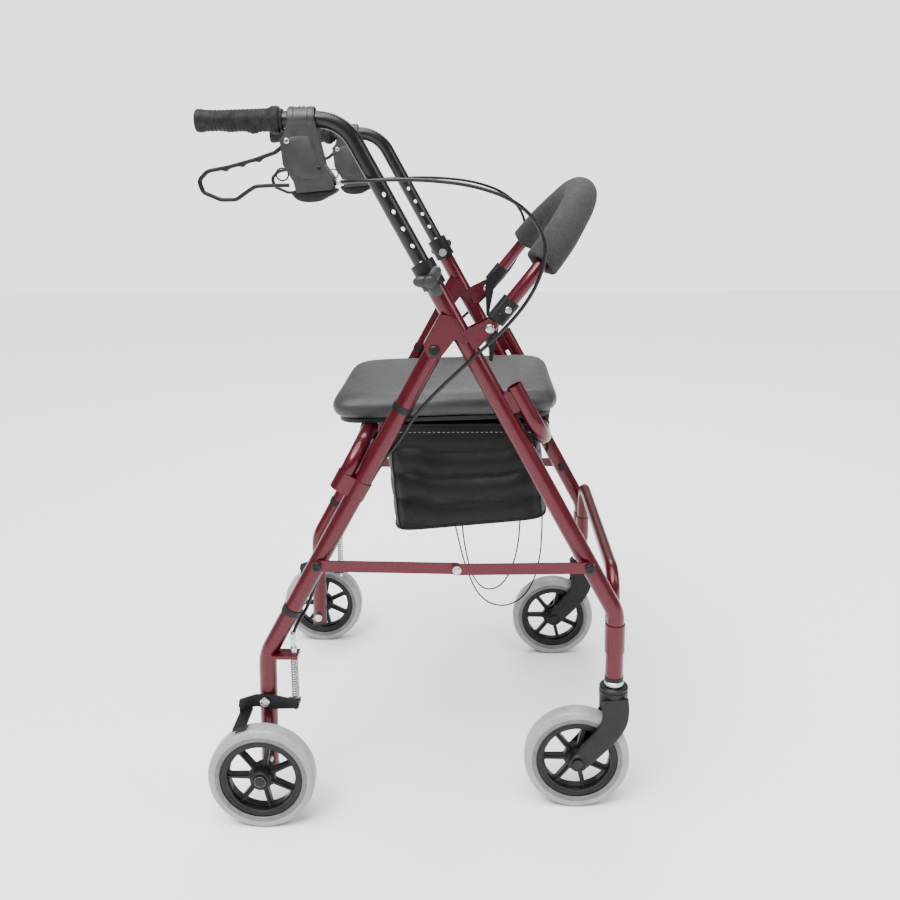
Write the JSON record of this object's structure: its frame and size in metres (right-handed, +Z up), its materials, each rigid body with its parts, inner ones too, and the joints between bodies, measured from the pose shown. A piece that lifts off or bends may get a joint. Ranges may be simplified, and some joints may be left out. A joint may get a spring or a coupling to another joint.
{
  "type": "rollator walker",
  "caption": "Folding wheeled walker with a burgundy tube frame, padded seat, foam backrest, loop brakes, height-adjustable handles and a pouch under the seat.",
  "frame": {"origin": "on the floor, midway between the front and rear wheel axles and between the two sides", "axes": "+X is the walking direction, +Y is the user's left, +Z is up"},
  "size_m": [0.6024, 0.605, 0.9995],
  "materials": {
    "frame_paint": "deep burgundy metallic powder coat",
    "handle_paint": "satin black powder coat",
    "black_plastic": "moulded black nylon, fine texture",
    "grip_rubber": "soft ribbed rubber",
    "tyre_grey": "light grey polyurethane",
    "bolt_steel": "zinc plated",
    "black_steel": "black painted pressed steel",
    "cable_black": "black vinyl outer casing",
    "seat_vinyl": "black seat vinyl",
    "pad_foam": "dark grey skinned foam",
    "bag_cloth": "black coated nylon",
    "cord_black": "thin black cord"
  },
  "bodies": {
    "front_frame": {"front_leg_right": "frame_paint", "front_leg_left": "frame_paint", "gussets": "frame_paint", "leg_collars": "black_plastic", "front_cross_tube": "frame_paint", "front_seat_bow": "frame_paint", "backrest_brackets": "frame_paint", "frame_bolts": "bolt_steel", "stem_bushes": "black_plastic", "bag": "bag_cloth", "drawcord_outer": "cord_black", "drawcord_inner": "cord_black", "brake_cable_right": "cable_black", "brake_cable_left": "cable_black"},
    "rear_frame": {"rear_leg_right": "frame_paint", "rear_leg_left": "frame_paint", "rear_seat_bow": "frame_paint", "rear_axles": "bolt_steel", "rear_frame_bolts": "bolt_steel", "cable_clips": "black_plastic", "cable_adjusters": "bolt_steel", "return_spring_right": "bolt_steel", "return_spring_left": "bolt_steel"},
    "front_spreaders": {"front_spreader_right": "frame_paint", "front_spreader_left": "frame_paint", "spreader_rivets": "bolt_steel"},
    "rear_spreaders": {"rear_spreader_right": "frame_paint", "rear_spreader_left": "frame_paint"},
    "seat": {"seat_board": "black_plastic", "seat_pad": "seat_vinyl", "seat_clips": "black_plastic"},
    "backrest": {"backrest_bow": "frame_paint", "backrest_pad": "pad_foam", "backrest_sleeves": "black_plastic"},
    "handle_right": {"handle_tube_right": "handle_paint", "grip_right": "grip_rubber", "brake_housing_right": "black_plastic"},
    "knob_right": {"knob_right": "black_plastic"},
    "brake_lever_right": {"brake_lever_right": "black_plastic"},
    "brake_arm_right": {"brake_arm_right": "black_steel"},
    "release_lever_right": {"release_lever_right": "black_plastic"},
    "caster_right": {"caster_fork_right": "black_plastic", "caster_axle_right": "black_steel"},
    "front_wheel_right": {"rim_front_right": "black_plastic", "tyre_front_right": "tyre_grey"},
    "rear_wheel_right": {"rim_rear_right": "black_plastic", "tyre_rear_right": "tyre_grey"},
    "handle_left": {"handle_tube_left": "handle_paint", "grip_left": "grip_rubber", "brake_housing_left": "black_plastic"},
    "knob_left": {"knob_left": "black_plastic"},
    "brake_lever_left": {"brake_lever_left": "black_plastic"},
    "brake_arm_left": {"brake_arm_left": "black_steel"},
    "release_lever_left": {"release_lever_left": "black_plastic"},
    "caster_left": {"caster_fork_left": "black_plastic", "caster_axle_left": "black_steel"},
    "front_wheel_left": {"rim_front_left": "black_plastic", "tyre_front_left": "tyre_grey"},
    "rear_wheel_left": {"rim_rear_left": "black_plastic", "tyre_rear_left": "tyre_grey"}
  },
  "joints": [
    {"name": "frame_fold", "type": "hinge", "parent": "front_frame", "child": "rear_frame", "pos_m": [0.026, 0, 0.681], "axis": [0, -1, 0], "range_deg": [0, 26], "deforming": ["brake_cable_right", "brake_cable_left"]},
    {"name": "rear_spreader_fold", "type": "hinge", "parent": "rear_frame", "child": "rear_spreaders", "pos_m": [-0.142, 0, 0.377], "axis": [0, -1, 0], "range_deg": [0, 36]},
    {"name": "front_spreader_fold", "type": "hinge", "parent": "front_frame", "child": "front_spreaders", "pos_m": [0.237, 0, 0.376], "axis": [0, 1, 0], "range_deg": [0, 45]},
    {"name": "seat_lift", "type": "hinge", "parent": "front_frame", "child": "seat", "pos_m": [0.17505, 0, 0.5515], "axis": [0, 1, 0], "range_deg": [0, 75]},
    {"name": "backrest_swing", "type": "hinge", "parent": "front_frame", "child": "backrest", "pos_m": [0.1, 0, 0.7105], "axis": [0, 1, 0], "range_deg": [0, 95]},
    {"name": "handle_height_right", "type": "slide", "parent": "front_frame", "child": "handle_right", "axis": [-0.4741, 0, 0.8805], "range_m": [-0.1016, 0.0508], "deforming": ["brake_cable_right"]},
    {"name": "knob_turn_right", "type": "hinge", "parent": "front_frame", "child": "knob_right", "pos_m": [0.02221, -0.232, 0.77418], "axis": [0, -1, 0], "continuous": true},
    {"name": "lever_squeeze_right", "type": "hinge", "parent": "handle_right", "child": "brake_lever_right", "pos_m": [-0.16, -0.232, 0.955], "axis": [0, 1, 0], "range_deg": [0, 14], "stiffness_Nm_per_rad": 0.6, "springref_deg": -5.73},
    {"name": "brake_arm_pivot_right", "type": "hinge", "parent": "rear_frame", "child": "brake_arm_right", "pos_m": [-0.224, -0.232, 0.171], "axis": [0, -1, 0], "range_deg": [0, 5.5], "deforming": ["return_spring_right"]},
    {"name": "release_pull_right", "type": "hinge", "parent": "backrest", "child": "release_lever_right", "pos_m": [0.1133, -0.232, 0.72675], "axis": [0, 1, 0], "range_deg": [0, 14], "stiffness_Nm_per_rad": 0.2, "springref_deg": -5.73},
    {"name": "caster_swivel_right", "type": "hinge", "parent": "front_frame", "child": "caster_right", "pos_m": [0.277, -0.232, 0.19], "axis": [0, 0, 1], "continuous": true},
    {"name": "front_wheel_spin_right", "type": "hinge", "parent": "caster_right", "child": "front_wheel_right", "pos_m": [0.225, -0.232, 0.0762], "axis": [0, 1, 0], "continuous": true},
    {"name": "rear_wheel_spin_right", "type": "hinge", "parent": "rear_frame", "child": "rear_wheel_right", "pos_m": [-0.225, -0.284, 0.0762], "axis": [0, 1, 0], "continuous": true},
    {"name": "handle_height_left", "type": "slide", "parent": "front_frame", "child": "handle_left", "axis": [-0.4741, 0, 0.8805], "range_m": [-0.1016, 0.0508], "deforming": ["brake_cable_left"]},
    {"name": "knob_turn_left", "type": "hinge", "parent": "front_frame", "child": "knob_left", "pos_m": [0.02221, 0.232, 0.77418], "axis": [0, 1, 0], "continuous": true},
    {"name": "lever_squeeze_left", "type": "hinge", "parent": "handle_left", "child": "brake_lever_left", "pos_m": [-0.16, 0.232, 0.955], "axis": [0, 1, 0], "range_deg": [0, 14], "stiffness_Nm_per_rad": 0.6, "springref_deg": -5.73},
    {"name": "brake_arm_pivot_left", "type": "hinge", "parent": "rear_frame", "child": "brake_arm_left", "pos_m": [-0.224, 0.232, 0.171], "axis": [0, -1, 0], "range_deg": [0, 5.5], "deforming": ["return_spring_left"]},
    {"name": "release_pull_left", "type": "hinge", "parent": "backrest", "child": "release_lever_left", "pos_m": [0.1133, 0.232, 0.72675], "axis": [0, 1, 0], "range_deg": [0, 14], "stiffness_Nm_per_rad": 0.2, "springref_deg": -5.73},
    {"name": "caster_swivel_left", "type": "hinge", "parent": "front_frame", "child": "caster_left", "pos_m": [0.277, 0.232, 0.19], "axis": [0, 0, 1], "continuous": true},
    {"name": "front_wheel_spin_left", "type": "hinge", "parent": "caster_left", "child": "front_wheel_left", "pos_m": [0.225, 0.232, 0.0762], "axis": [0, 1, 0], "continuous": true},
    {"name": "rear_wheel_spin_left", "type": "hinge", "parent": "rear_frame", "child": "rear_wheel_left", "pos_m": [-0.225, 0.284, 0.0762], "axis": [0, 1, 0], "continuous": true}
  ],
  "couplings": [
    {"joint": "rear_spreader_fold", "follows": "frame_fold", "ratio": 1.3561},
    {"joint": "front_spreader_fold", "follows": "frame_fold", "ratio": 1.7285},
    {"joint": "brake_arm_pivot_right", "follows": "lever_squeeze_right", "ratio": 0.38571},
    {"joint": "brake_arm_pivot_left", "follows": "lever_squeeze_left", "ratio": 0.38571}
  ]
}
